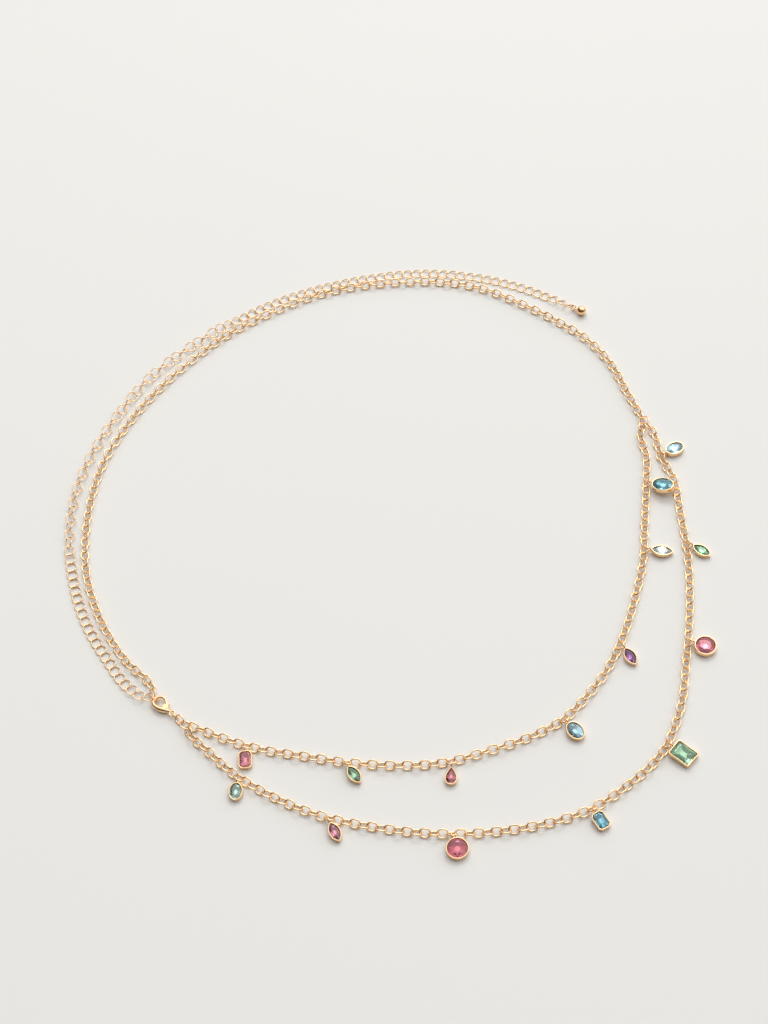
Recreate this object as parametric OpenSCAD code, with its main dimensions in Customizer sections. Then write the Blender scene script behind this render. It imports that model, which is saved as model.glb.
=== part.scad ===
// Waist chain of two front strands with bezel-set charms, a lobster clasp and a long extender chain.
// It lies on a flat surface at z = 0, with the front strands towards -Y.

/* [Chain] */
// Length of one link of the front strands
link_len = 4.5; // [4.3:0.05:4.7]
// Width of one link of the front strands
link_w = 3.7; // [3.6:0.05:3.8]
// Thickness of the wire of the links
link_wire = 0.6; // [0.52:0.01:0.62]
// Play between two links that hold each other
link_play = 0.1; // [0.1:0.01:0.14]
// Lean of the links of the strands from the floor, one to the left and the next to the right
link_roll = 34; // [32:1:36]
// Most that the lean of a single link strays from that
roll_spread = 3; // [0:1:4]
// Most that a stretch of a strand rolls over to one side
roll_sway = 8; // [0:1:8]
// Width of the extender chain, whose links lie flat
extender_w = 4.2; // [4.0:0.05:4.4]
// Height of the extender chain where its links lie flat
extender_h = 1.3; // [1.2:0.05:1.5]
// Height of the extender chain where every other link is turned on its side
turned_h = 2.6; // [2.4:0.1:3.0]

/* [Rings] */
// Lean of the single link at the clasp and of the small rings at the end
ring_roll = 45; // [42:1:48]
// Outer diameter of the ring where the front strands start and of the one where they end
strand_ring_d = 4.9; // [4.8:0.05:5.0]
// Wire of those two rings
strand_ring_wire = 0.6; // [0.5:0.01:0.62]
// Outer diameter of the ring in the eye of the clasp
jump_ring_d = 3.3; // [3.2:0.05:3.4]
// Outer diameter of the ring that the hook of the clasp holds
hook_ring_d = 3.5; // [3.4:0.05:3.6]
// Outer diameter of the ring that holds the end ball
end_ring_d = 2.6; // [2.5:0.05:2.8]
// Wire of the small rings
ring_wire = 0.5; // [0.42:0.01:0.52]

/* [Clasp] */
// Length of the lobster clasp
clasp_len = 11.5; // [11:0.1:12.5]
// Width across the hook of the clasp
clasp_w = 6.2; // [6.0:0.1:6.6]
// Thickness of the body of the clasp
clasp_thick = 2.3; // [2.2:0.05:2.4]
// Diameter of the pin that the lever turns on
pin_d = 0.7; // [0.6:0.05:0.8]

/* [Charms] */
// Outer diameter of the ring soldered to each setting
loop_d = 2.8; // [2.75:0.05:2.9]
// Wire of that ring
loop_wire = 0.55; // [0.45:0.01:0.58]
// Wall of the settings round the stones
bezel_wall = 0.4; // [0.35:0.05:0.5]
// Height of a setting before the share for its stone's width is added
cup_base = 1.5; // [1.4:0.05:1.7]
// Diameter of the end ball
ball_d = 4; // [3.6:0.1:4.6]

/* [Stones] */
// Length of an oval stone
oval_len = 7; // [6.5:0.1:7.5]
// Width of an oval stone
oval_w = 5; // [4.5:0.1:5.3]
// Length of a marquise stone
marquise_len = 7; // [6.5:0.1:7.5]
// Width of a marquise stone
marquise_w = 3.5; // [3.2:0.1:3.8]
// Length of the pear stone
pear_len = 6; // [5.5:0.1:6.5]
// Width of the pear stone
pear_w = 3.6; // [3.3:0.1:4]
// Diameter of a round stone
round_d = 7.2; // [6.8:0.1:7.5]
// Length of a small octagon stone
octagon_len = 6; // [5.5:0.1:6.5]
// Width of a small octagon stone
octagon_w = 4; // [3.6:0.1:4.3]
// Length of the large octagon stone
emerald_len = 8; // [7.5:0.1:8.5]
// Width of the large octagon stone
emerald_w = 6; // [5.5:0.1:6.4]

/* [Hidden] */
// Points of the middle lines, chosen by hand, in the order inner strand, outer strand, back chain, extender.
// The strands run from the joining ring to the junction ring, and the back chain starts at the junction ring.
// The back chain ends at the hook ring and the extender starts there, so that point is worked out.
route_points = [
    [
        [-81, -68], [-77.2, -69.9], [-70, -74.6], [-57, -82], [-40, -88.5], [-21, -95], [-3, -99.2],
        [12, -100.5], [27, -98.5], [43, -95.5], [56, -90.5], [66, -82.5], [77, -70.5], [85, -57.5],
        [92, -42.5], [98, -27], [102, -10], [106, 7], [109, 22], [109.1, 34], [111.5, 39.4]
    ],
    [
        [-81, -68], [-79.7, -72.3], [-74, -80], [-66, -90.5], [-53, -102.5], [-37.5, -113], [-17, -122],
        [5.5, -128.5], [24, -131], [43, -131], [58, -128.5], [73, -121.5], [88, -110.5], [98, -94.5],
        [105, -73], [111, -50.5], [115, -28], [116.5, -6], [117.3, 8], [114.5, 21], [113.8, 34], [111.5, 39.4]
    ],
    [
        [111.5, 39.4], [108, 54.5], [104, 72], [98, 85], [86, 99.5], [72.5, 112.5], [57.5, 124],
        [40, 131], [22, 134.3], [4, 135.3], [-14, 133.2], [-31.5, 127.8], [-50, 119.5], [-67, 108],
        [-82.5, 94], [-94, 80.5], [-104, 65], [-111, 46], [-114.5, 27], [-115.2, 10], [-112.5, -8],
        [-108, -22.5], [-100, -38.5], [-94.5, -45.5], [-92.3, -50]
    ],
    [
        [-96, -53], [-102, -46.5], [-109, -33], [-115, -19], [-119, -4], [-121, 13], [-120.8, 30],
        [-117, 50], [-109, 68.5], [-97, 87], [-84, 102.5], [-66.5, 115.5], [-49, 125.5], [-27, 134.2],
        [-7, 138.2], [13, 139.4], [33, 138], [55, 131.6], [73.8, 121.8], [86.7, 112], [94.8, 104.5]
    ]
];
// Middle line of the body of the clasp from the tip of its hook to its eye, as shares of its length
// and its width, with the radius as a share of its thickness
clasp_line = [
    [0.54, 0.365, 0.215], [0.6, 0.39, 0.235], [0.66, 0.38, 0.245], [0.72, 0.335, 0.25], [0.775, 0.25, 0.25],
    [0.815, 0.135, 0.25], [0.83, 0, 0.25], [0.82, -0.135, 0.26], [0.78, -0.245, 0.28],
    [0.72, -0.32, 0.315], [0.64, -0.36, 0.355], [0.55, -0.355, 0.395], [0.46, -0.32, 0.44],
    [0.365, -0.245, 0.485], [0.28, -0.16, 0.48], [0.21, -0.09, 0.42], [0.145, -0.03, 0.3],
    [0.095, 0, 0.16]
];
// Number of the point at the front of the hook
CLASP_FRONT = 6;
// Middle line of its lever from the pivot to the tip, and of the tab for the thumb
lever_line = [
    [0.3, 0.015, 0.2], [0.335, 0.1, 0.25], [0.38, 0.19, 0.26], [0.43, 0.265, 0.26], [0.49, 0.325, 0.245],
    [0.55, 0.365, 0.22], [0.61, 0.385, 0.2]
];
tab_line = [[0.345, 0.1, 0.2], [0.335, 0.22, 0.22], [0.33, 0.33, 0.16], [0.328, 0.36, 0.06]];
// Shift of all the routes that puts the middle of the whole over the origin
route_shift = [-0.57, -0.95];
function route(i) = [for (p = route_points[i]) p + route_shift];
// Way from the joining ring to the clasp, and between the strands into the junction ring
clasp_turn = 128;
junction_turn = 90;
// Numbers of the routes in that list
INNER = 0;
OUTER = 1;
BACK = 2;
EXTENDER = 3;

// Columns of the charm table: strand, share of the way along it, swing of the charm from square to the
// strand, cut of the stone, its share of that cut's size, height that its far edge rests at, and colour
STRAND = 0;
SHARE = 1;
SWING = 2;
CUT = 3;
SCALE = 4;
REST = 5;
COLOUR = 6;
charms = [
    [INNER, 0.078, 22, "octagon", 1, 0, "#e0708f"],
    [INNER, 0.211, 44, "marquise", 1, 0, "#4f9a62"],
    [INNER, 0.344, -15, "pear", 1, 0, "#e0708f"],
    [INNER, 0.5, -2, "oval", 1, 0, "#8fc4d6"],
    [INNER, 0.633, -40, "marquise", 1, 0, "#6d4a78"],
    [INNER, 0.789, -2, "marquise", 1.1, 0, "#bfe3df"],
    [INNER, 0.9, -20, "oval", 1.15, 3.05, "#69b7c4"],
    [OUTER, 0.082, 35, "oval", 0.86, 0, "#9fd0bf"],
    [OUTER, 0.191, 45, "marquise", 1, 0, "#b06a86"],
    [OUTER, 0.318, 24, "round", 1, 0, "#d8506e"],
    [OUTER, 0.464, 4, "octagon", 1, 0, "#4f93b0"],
    [OUTER, 0.573, -12, "emerald", 1, 0, "#4c9c63"],
    [OUTER, 0.7, -12, "round", 1, 0, "#cf4866"],
    [OUTER, 0.827, -40, "marquise", 1, 0, "#2f7a50"],
    [OUTER, 0.955, 18, "oval", 1, 0, "#a5cfdf"]
];
// Charms of the inner strand, which come first in the table
inner_count = 7;
// Cuts with the length and width of their stones
cuts = [
    ["oval", oval_len, oval_w],
    ["marquise", marquise_len, marquise_w],
    ["pear", pear_len, pear_w],
    ["round", round_d, round_d],
    ["octagon", octagon_len, octagon_w],
    ["emerald", emerald_len, emerald_w]
];

gold = "#dcb070";
// Space under what rests on the floor
floor_gap = 0.02;
// Space between a stone and its setting
stone_fit = 0.06;
// Space between a ring and the wire that it hangs on
hang_play = 0.17;
// Play of the strands' last links in the rings, where they come in at an angle
turn_play = 0.42;
// Play of the jump ring in the eye of the clasp
eye_play = 0.22;
// Space between the end of a tube and the ring that it leads to
tube_gap = 0.3;
// Share of the stone's width that a setting is higher by
cup_share = 0.07;
// Part of a turn that the sway of a strand goes on by at each link
sway_turn = 23;
// Links at each end of a strand over which its links turn to lean as they do at the rings
end_links = 4;
// Sides of the outline of a round, oval, marquise or pear stone
outline_sides = 32;
// Sides of the table of such a stone
table_sides = 8;
// Straight pieces between two points of a route
route_steps = 10;
curve_fn = 48;
wire_fn = 24;

// Names of the parts
function charm_name(kind, i) =
    i < inner_count ? str("inner_", kind, "_", i + 1) : str("outer_", kind, "_", i + 1 - inner_count);
charm_nodes = [for (kind = ["setting", "stone"]) for (i = [0 : len(charms) - 1]) charm_name(kind, i)];

// Height of the middle of a link that leans by the angle, and of all the links of the strands
function lean_height(lean) = (link_w - link_wire) / 2 * sin(lean) + link_wire / 2;
most_lean = max(ring_roll, link_roll + roll_spread + roll_sway);
chain_z = lean_height(most_lean);

// Distance from the middle of a ring to the middle of the link that it holds, and between two rings
function inner_r(d, wire) = d / 2 - wire;
function ring_to_link(d, wire, play = link_play) = inner_r(d, wire) + link_len / 2 - link_wire - play;
function ring_to_ring(a, b, play = link_play) = a + b - play;

// Smooth line through the points of a route: a cubic on each stretch with the slopes of its neighbours
function chord(points, i) = norm(points[i + 1] - points[i]);
function slope(points, i) =
    i == 0 ? (points[1] - points[0]) / chord(points, 0) :
    i == len(points) - 1 ? (points[i] - points[i - 1]) / chord(points, i - 1) :
    let (a = chord(points, i - 1), b = chord(points, i))
    ((points[i] - points[i - 1]) * b / a + (points[i + 1] - points[i]) * a / b) / (a + b);
function between(points, i, t) =
    let (run = chord(points, i))
    points[i] * (2 * t ^ 3 - 3 * t ^ 2 + 1)
        + slope(points, i) * run * (t ^ 3 - 2 * t ^ 2 + t)
        + points[i + 1] * (3 * t ^ 2 - 2 * t ^ 3)
        + slope(points, i + 1) * run * (t ^ 3 - t ^ 2);
function smooth(points) = concat(
    [
        for (i = [0 : len(points) - 2])
            for (k = [0 : route_steps - 1])
                between(points, i, k / route_steps)
    ],
    [points[len(points) - 1]]
);
function run_lengths(line) = [
    for (
        i = 0, run = 0;
        i < len(line);
        i = i + 1, run = run + (i < len(line) ? norm(line[i] - line[i - 1]) : 0)
    )
        run
];

// A track holds the x and the y of a smooth line against the length run along it
function track(points) =
    let (line = smooth(points), run = run_lengths(line))
    [
        [for (i = [0 : len(line) - 1]) [run[i], line[i][0]]],
        [for (i = [0 : len(line) - 1]) [run[i], line[i][1]]]
    ];
function track_len(t) = t[0][len(t[0]) - 1][0];
function at(t, run) = [lookup(run, t[0]), lookup(run, t[1])];
function heading(t, run) =
    let (step = at(t, run + link_len / 2) - at(t, run - link_len / 2))
    atan2(step[1], step[0]);
function step_along(angle, run) = [cos(angle), sin(angle)] * run;

// The clasp and its rings follow each other from the joining ring along one line
joining_at = route(INNER)[0];
junction_at = route(BACK)[0];
eye_wire = clasp_len * 0.055;
eye_r = clasp_len * 0.09;
eye_hole_r = eye_r - eye_wire / 2;
strand_run = ring_to_link(strand_ring_d, strand_ring_wire, turn_play);
clasp_link_run = ring_to_link(strand_ring_d, strand_ring_wire);
jump_run = clasp_link_run + ring_to_link(jump_ring_d, ring_wire, eye_play);
eye_run = jump_run + ring_to_ring(inner_r(jump_ring_d, ring_wire), eye_hole_r, eye_play);
clasp_at = joining_at + step_along(clasp_turn, eye_run);
// In the clasp's own frame its eye is at the middle and its hook is towards +X
hook_ring_lead = -0.1;
hook_ring_x = clasp_len * clasp_line[CLASP_FRONT][0] + hook_ring_lead;
hook_ring_at = clasp_at + step_along(clasp_turn, hook_ring_x);

inner_track = track(route(INNER));
outer_track = track(route(OUTER));
back_track = track(concat(route(BACK), [hook_ring_at]));
extender_track = track(concat([hook_ring_at], route(EXTENDER)));

// Links of a strand: an odd number, so that its first and last links lean inwards alike
strand_pitch = link_len - 2 * link_wire - link_play;
function strand_span(t) = track_len(t) - 2 * strand_run;
function strand_steps(t) = 2 * ceil(strand_span(t) / strand_pitch / 2);
function link_at(t, i) = strand_run + i * strand_span(t) / strand_steps(t);
// Near the rings the links lean as the single link at the clasp does
function ring_share(t, i) = max(0, 1 - min(i, strand_steps(t) - i) / end_links);
function link_lean(t, i) =
    let (share = ring_share(t, i), free = 1 - share)
    (i % 2 == 0 ? -1 : 1) * (ring_roll * share + (link_roll + roll_spread * sin(i * 137)) * free)
        + roll_sway * sin(i * sway_turn) * free;

module wire_arc(r, wire, angle) {
    rotate([0, 0, -angle / 2])
        rotate_extrude(angle = angle, $fn = curve_fn)
            translate([r, 0])
                circle(d = wire, $fn = wire_fn);
}

module wire_ring(outer_d, wire) {
    rotate_extrude($fn = curve_fn)
        translate([(outer_d - wire) / 2, 0])
            circle(d = wire, $fn = wire_fn);
}

// One link with round ends and straight sides, with its length along X
module link(length, width, wire) {
    r = (width - wire) / 2;
    side = length - width;
    for (half = [0, 180])
        rotate([0, 0, half]) {
            translate([side / 2, 0, 0])
                wire_arc(r, wire, 180);
            translate([-side / 2, r, 0])
                rotate([0, 90, 0])
                    cylinder(h = side, d = wire, $fn = wire_fn);
        }
}

module strand(t) {
    for (i = [0 : strand_steps(t)]) {
        run = link_at(t, i);
        place = at(t, run);
        translate([place[0], place[1], chain_z])
            rotate([0, 0, heading(t, run)])
                rotate([-link_lean(t, i), 0, 0])
                    link(link_len, link_w, link_wire);
    }
}

module inner_strand() {
    color(gold)
        strand(inner_track);
}

module outer_strand() {
    color(gold)
        strand(outer_track);
}

// A tube along a track, with eight sides and narrower ends, as the last links are
tube_sides = 8;
tube_taper = 1.6;
tube_end_share = 0.6;
// Stretch of the extender in which every other link is turned, and the run over which that begins and ends
turned_from = 84;
turned_to = 212;
turned_ease = 14;
function turned_share(run) = max(0, min(1, (run - turned_from) / turned_ease, (turned_to - run) / turned_ease));
// A tube of the width w and the height h, which is higher by more where the links are turned
module chain_tube(t, w, h, start, stop, rings, more = 0) {
    inside_start = start + tube_taper;
    inside_stop = stop - tube_taper;
    runs = concat(
        [start],
        [for (i = [0 : rings - 3]) inside_start + (inside_stop - inside_start) * i / (rings - 3)],
        [stop]
    );
    points = [
        for (i = [0 : rings - 1])
            let (
                place = at(t, runs[i]),
                turn = heading(t, runs[i]) - 90,
                share = i == 0 || i == rings - 1 ? tube_end_share : 1,
                tall = h + more * turned_share(runs[i]),
                corner = share / cos(180 / tube_sides)
            )
            for (k = [0 : tube_sides - 1])
                let (a = (k + 0.5) * 360 / tube_sides, across = w / 2 * corner * cos(a))
                [place[0] + across * cos(turn), place[1] + across * sin(turn), tall / 2 * (1 + corner * sin(a))]
    ];
    last = (rings - 1) * tube_sides;
    faces = concat(
        [[for (k = [0 : tube_sides - 1]) k]],
        [
            for (i = [0 : rings - 2])
                for (k = [0 : tube_sides - 1])
                    let (a = i * tube_sides + k, b = i * tube_sides + (k + 1) % tube_sides)
                    [a, a + tube_sides, b + tube_sides, b]
        ],
        [[for (k = [tube_sides - 1 : -1 : 0]) last + k]]
    );
    polyhedron(points = points, faces = faces, convexity = 10);
}

module back_chain() {
    color(gold)
        chain_tube(
            back_track, 2 * chain_z, 2 * chain_z, strand_ring_d / 2 + tube_gap,
            track_len(back_track) - hook_ring_d / 2 - tube_gap, 42
        );
}

module extender_chain() {
    color(gold)
        chain_tube(
            extender_track, extender_w, extender_h, hook_ring_d / 2 + tube_gap,
            track_len(extender_track) - end_ring_d / 2 - tube_gap, 38, turned_h - extender_h
        );
}

module at_ring(place, turn, lean, z = chain_z) {
    translate([place[0], place[1], z])
        rotate([0, 0, turn])
            rotate([lean, 0, 0])
                children();
}

// Lean of a ring that rests on the floor with its middle as high as the chains' middles
function ring_lean(d, wire) = asin(min(1, (chain_z - floor_gap - wire / 2) / ((d - wire) / 2)));
strand_ring_lean = ring_lean(strand_ring_d, strand_ring_wire);

module joining_ring() {
    color(gold)
        at_ring(joining_at, clasp_turn, strand_ring_lean)
            wire_ring(strand_ring_d, strand_ring_wire);
}

module junction_ring() {
    color(gold)
        at_ring(junction_at, junction_turn, -strand_ring_lean)
            wire_ring(strand_ring_d, strand_ring_wire);
}

module clasp_link() {
    color(gold)
        at_ring(joining_at + step_along(clasp_turn, clasp_link_run), clasp_turn, -ring_roll)
            link(link_len, link_w, link_wire);
}

// These two rings stand more steeply, as low as the floor lets them
jump_ring_lean = 70;
hook_ring_lean = 60;
function standing_z(d, lean) = (d - ring_wire) / 2 * sin(lean) + ring_wire / 2 + floor_gap;

module jump_ring() {
    ring_z = max(standing_z(jump_ring_d, jump_ring_lean), chain_z);
    color(gold)
        at_ring(joining_at + step_along(clasp_turn, jump_run), clasp_turn, jump_ring_lean, ring_z)
            wire_ring(jump_ring_d, ring_wire);
}

module hook_ring() {
    ring_z = max(standing_z(hook_ring_d, hook_ring_lean), chain_z);
    color(gold)
        at_ring(hook_ring_at, clasp_turn, hook_ring_lean, ring_z)
            wire_ring(hook_ring_d, ring_wire);
}

// The clasp's own frame, set down in line with its rings
module in_clasp() {
    translate([clasp_at[0], clasp_at[1], chain_z])
        rotate([0, 0, clasp_turn])
            mirror([0, 1, 0])
                children();
}

// A smooth bar along a flat line, with a round section at each of its points
bar_sides = 12;
module bar(line) {
    n = len(line);
    mid = [for (p = line) [p[0] * clasp_len, p[1] * clasp_w]];
    rings = [
        for (i = [0 : n - 1])
            let (
                way = mid[min(i + 1, n - 1)] - mid[max(i - 1, 0)],
                side = [-way[1], way[0]] / norm(way),
                r = line[i][2] * clasp_thick
            )
            [
                for (k = [0 : bar_sides - 1])
                    let (a = k * 360 / bar_sides)
                    [mid[i][0] + side[0] * r * cos(a), mid[i][1] + side[1] * r * cos(a), r * sin(a)]
            ]
    ];
    loft(rings);
}

pivot = [lever_line[0][0] * clasp_len, lever_line[0][1] * clasp_w];
ear_r = clasp_w * 0.165;
hub_r = clasp_w * 0.14;
lever_thick = clasp_thick * 0.52;
lever_reach = clasp_len * 0.314;
lever_gap = 0.12;

module at_pivot(z) {
    translate([pivot[0], pivot[1], z])
        children();
}

module clasp_body() {
    slot = lever_thick + 2 * lever_gap;
    color(gold)
        in_clasp() {
            wire_ring(2 * eye_r + eye_wire, eye_wire);
            difference() {
                union() {
                    bar(clasp_line);
                    at_pivot(-clasp_thick / 2)
                        cylinder(h = clasp_thick, r = ear_r, $fn = curve_fn);
                }
                at_pivot(-slot / 2)
                    cylinder(h = slot, r = ear_r + lever_gap, $fn = curve_fn);
                intersection() {
                    at_pivot(-clasp_thick)
                        cylinder(h = 2 * clasp_thick, r = lever_reach + lever_gap, $fn = curve_fn);
                    translate([clasp_len * 0.45, clasp_w * 0.2, -clasp_thick])
                        cube([clasp_len, clasp_w, 2 * clasp_thick]);
                }
            }
            at_pivot(-clasp_thick / 2)
                cylinder(h = clasp_thick, d = pin_d, $fn = curve_fn);
        }
}

module clasp_lever() {
    color(gold)
        in_clasp()
            difference() {
                union() {
                    at_pivot(-lever_thick / 2)
                        cylinder(h = lever_thick, r = hub_r, $fn = curve_fn);
                    intersection() {
                        bar(lever_line);
                        at_pivot(-clasp_thick)
                            cylinder(h = 2 * clasp_thick, r = lever_reach, $fn = curve_fn);
                    }
                    bar(tab_line);
                }
                at_pivot(-clasp_thick)
                    cylinder(h = 2 * clasp_thick, d = pin_d + lever_gap, $fn = curve_fn);
            }
}

// The end of the extender: its last ring, and the ball with a ring soldered to it
end_run = track_len(extender_track);
end_at = at(extender_track, end_run);
end_turn = heading(extender_track, end_run - link_len / 2);
ball_loop_d = 2.1;
ball_loop_run = ring_to_ring(inner_r(end_ring_d, ring_wire), inner_r(ball_loop_d, ring_wire));
ball_z = ball_d / 2 + floor_gap;

module end_ring() {
    color(gold)
        at_ring(end_at, end_turn, ring_roll)
            wire_ring(end_ring_d, ring_wire);
}

module end_ball() {
    solder = 0.4;
    loop_at = end_at + step_along(end_turn, ball_loop_run);
    ball_at = loop_at + step_along(end_turn, ball_loop_d / 2 + ball_d / 2 - solder);
    color(gold) {
        translate([ball_at[0], ball_at[1], ball_z])
            sphere(d = ball_d, $fn = curve_fn);
        at_ring(loop_at, end_turn, -ring_roll)
            wire_ring(ball_loop_d, ring_wire);
    }
}

// Outlines of the cuts, with the length along X
function cut_size(cut) = [for (row = cuts) if (row[0] == cut) [row[1], row[2]]][0];
function ellipse_outline(l, w) = [
    for (k = [0 : outline_sides - 1])
        let (a = k * 360 / outline_sides)
        [l / 2 * cos(a), w / 2 * sin(a)]
];
function marquise_side(l, w, way) =
    let (r = (l ^ 2 + w ^ 2) / (4 * w), half = asin(l / 2 / r), steps = outline_sides / 2)
    [
        for (k = [0 : steps - 1])
            let (a = half * (1 - 2 * k / steps))
            [way * r * sin(a), way * (r * cos(a) - r + w / 2)]
    ];
function pear_outline(l, w) = [
    for (k = [0 : outline_sides - 1])
        let (a = 180 + k * 360 / outline_sides)
        [-l / 2 * cos(a), -w / 2 * sin(a) * abs(sin(a / 2)) / 0.77]
];
function octagon_outline(l, w, corner) =
    let (x = l / 2, y = w / 2, c = w * corner)
    [[x, y - c], [x - c, y], [c - x, y], [-x, y - c], [-x, c - y], [c - x, -y], [x - c, -y], [x, c - y]];
function outline(cut, l, w) =
    cut == "octagon" ? octagon_outline(l, w, 0.2) :
    cut == "emerald" ? octagon_outline(l, w, 0.07) :
    cut == "marquise" ? concat(marquise_side(l, w, 1), marquise_side(l, w, -1)) :
    cut == "pear" ? pear_outline(l, w) :
    ellipse_outline(l, w);

// A closed solid through rings of as many points each, from the outside bottom upwards
module loft(rings) {
    n = len(rings[0]);
    last = (len(rings) - 1) * n;
    faces = concat(
        [[for (k = [0 : n - 1]) k]],
        [
            for (j = [0 : len(rings) - 2])
                for (k = [0 : n - 1])
                    let (a = j * n + k, b = j * n + (k + 1) % n)
                    [a, a + n, b + n, b]
        ],
        [[for (k = [n - 1 : -1 : 0]) last + k]]
    );
    polyhedron(points = [for (ring = rings) for (p = ring) p], faces = faces, convexity = 4);
}

function raised(flat, z) = [for (p = flat) [p[0], p[1], z]];

// Heights in a charm, measured from the middle of its setting
function cup_h(w) = cup_base + cup_share * w;
rim_above_girdle = 0.32;
girdle_h = 0.12;
cup_floor = 0.35;
cup_edge = 0.16;
crown_base = 0.25;
crown_share = 0.05;
table_share = 0.6;
belly_share = 0.75;
culet_share = 0.3;
function high_edge_z(w) = cup_h(w) / 2 - rim_above_girdle;
function low_edge_z(w) = high_edge_z(w) - girdle_h;
function hollow_z(w) = cup_floor - cup_h(w) / 2;
function back_edge_z(w) = hollow_z(w) + stone_fit;
function belly_z(w) = (back_edge_z(w) + low_edge_z(w)) / 2;

module setting_cup(cut, l, w) {
    h = cup_h(w);
    full_l = l + 2 * (bezel_wall + stone_fit);
    full_w = w + 2 * (bezel_wall + stone_fit);
    profile = [
        [cup_edge, -h / 2],
        [0, -h / 2 + cup_edge],
        [0, h / 2 - cup_edge],
        [cup_edge, h / 2],
        [bezel_wall, h / 2],
        [bezel_wall, low_edge_z(w) - stone_fit]
    ];
    hollow = [[belly_share, belly_z(w) - stone_fit], [culet_share, hollow_z(w)]];
    fit = 2 * stone_fit;
    rings = concat(
        [for (p = profile) raised(outline(cut, full_l - 2 * p[0], full_w - 2 * p[0]), p[1])],
        [for (row = hollow) raised(outline(cut, l * row[0] + fit, w * row[0] + fit), row[1])]
    );
    loft(rings);
}

// Step cut: straight facets in rows from the back to the table
module step_stone(cut, l, w, back_z, low_z, high_z, top_z) {
    rows = [
        [culet_share, back_z],
        [belly_share, belly_z(w)],
        [1, low_z],
        [1, high_z],
        [0.84, high_z + (top_z - high_z) * 0.6],
        [table_share, top_z]
    ];
    loft([for (row = rows) raised(outline(cut, l * row[0], w * row[0]), row[1])]);
}

// Brilliant cut: a table and a small back of eight sides, with fans of facets to the girdle
module brilliant_stone(cut, l, w, back_z, low_z, high_z, top_z) {
    edge = outline(cut, l, w);
    n = len(edge);
    m = table_sides;
    fan = n / m;
    half = fan / 2;
    points = concat(
        [for (i = [0 : m - 1]) [edge[i * fan][0] * culet_share, edge[i * fan][1] * culet_share, back_z]],
        raised(edge, low_z),
        raised(edge, high_z),
        [for (i = [0 : m - 1]) [edge[i * fan][0] * table_share, edge[i * fan][1] * table_share, top_z]]
    );
    low = m;
    high = m + n;
    top = m + 2 * n;
    faces = concat(
        [[for (i = [0 : m - 1]) i]],
        [for (i = [0 : m - 1]) for (k = [-half : half - 1])
            [i, low + (i * fan + k + n) % n, low + (i * fan + k + 1 + n) % n]],
        [for (i = [0 : m - 1]) [i, low + i * fan + half, (i + 1) % m]],
        [for (k = [0 : n - 1]) [low + k, high + k, high + (k + 1) % n, low + (k + 1) % n]],
        [for (i = [0 : m - 1]) for (k = [-half : half - 1])
            [high + (i * fan + k + n) % n, top + i, high + (i * fan + k + 1 + n) % n]],
        [for (i = [0 : m - 1]) [high + i * fan + half, top + i, top + (i + 1) % m]],
        [[for (i = [m - 1 : -1 : 0]) top + i]]
    );
    polyhedron(points = points, faces = faces, convexity = 4);
}

function charm_len(i) = cut_size(charms[i][CUT])[0] * charms[i][SCALE];
function charm_w(i) = cut_size(charms[i][CUT])[1] * charms[i][SCALE];
function charm_track(i) = charms[i][STRAND] == INNER ? inner_track : outer_track;

// The charm hangs on the high side of a link that leans outwards, and its far lower edge rests
loop_r = (loop_d - loop_wire) / 2;
loop_solder = 0.28;
hang = loop_r - loop_wire / 2 - link_wire / 2 - hang_play;
hang_turn = 75;

module in_charm(i) {
    t = charm_track(i);
    row = charms[i];
    index = 2 * round((row[SHARE] * strand_steps(t) - 1) / 2) + 1;
    run = link_at(t, index);
    lean = link_lean(t, index);
    side = heading(t, run) - 90;
    out = (link_w - link_wire) / 2;
    turn = side + row[SWING];
    wire_at = at(t, run) + step_along(side, out * cos(lean));
    wire_z = chain_z + out * sin(lean);
    loop_at = wire_at + step_along(turn, hang * cos(hang_turn));
    loop_z = wire_z - hang * sin(hang_turn);
    far = loop_d / 2 - loop_solder + charm_len(i) + 2 * (bezel_wall + stone_fit);
    half = cup_h(charm_w(i)) / 2;
    drop = loop_z - row[REST] - floor_gap;
    tilt = asin(drop / norm([far, half])) - atan2(half, far);
    translate([loop_at[0], loop_at[1], loop_z])
        rotate([0, 0, turn])
            rotate([0, tilt, 0])
                children();
}

module at_cup(i) {
    translate([loop_d / 2 - loop_solder + charm_len(i) / 2 + bezel_wall + stone_fit, 0, 0])
        children();
}

module setting(i) {
    color(gold)
        in_charm(i) {
            rotate([90, 0, 0])
                wire_ring(loop_d, loop_wire);
            at_cup(i)
                setting_cup(charms[i][CUT], charm_len(i), charm_w(i));
        }
}

module stone(i) {
    cut = charms[i][CUT];
    l = charm_len(i);
    w = charm_w(i);
    high_z = high_edge_z(w);
    low_z = low_edge_z(w);
    top_z = high_z + crown_base + w * crown_share;
    back_z = back_edge_z(w);
    color(charms[i][COLOUR])
        in_charm(i)
            at_cup(i)
                if (cut == "octagon" || cut == "emerald")
                    step_stone(cut, l, w, back_z, low_z, high_z, top_z);
                else
                    brilliant_stone(cut, l, w, back_z, low_z, high_z, top_z);
}

inner_strand();
outer_strand();
back_chain();
extender_chain();
clasp_body();
clasp_lever();
jump_ring();
clasp_link();
joining_ring();
junction_ring();
hook_ring();
end_ring();
end_ball();
for (i = [0 : len(charms) - 1]) {
    setting(i);
    stone(i);
}
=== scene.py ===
import math

import bmesh
import bpy
import numpy as np
from mathutils import Matrix, Vector


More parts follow.
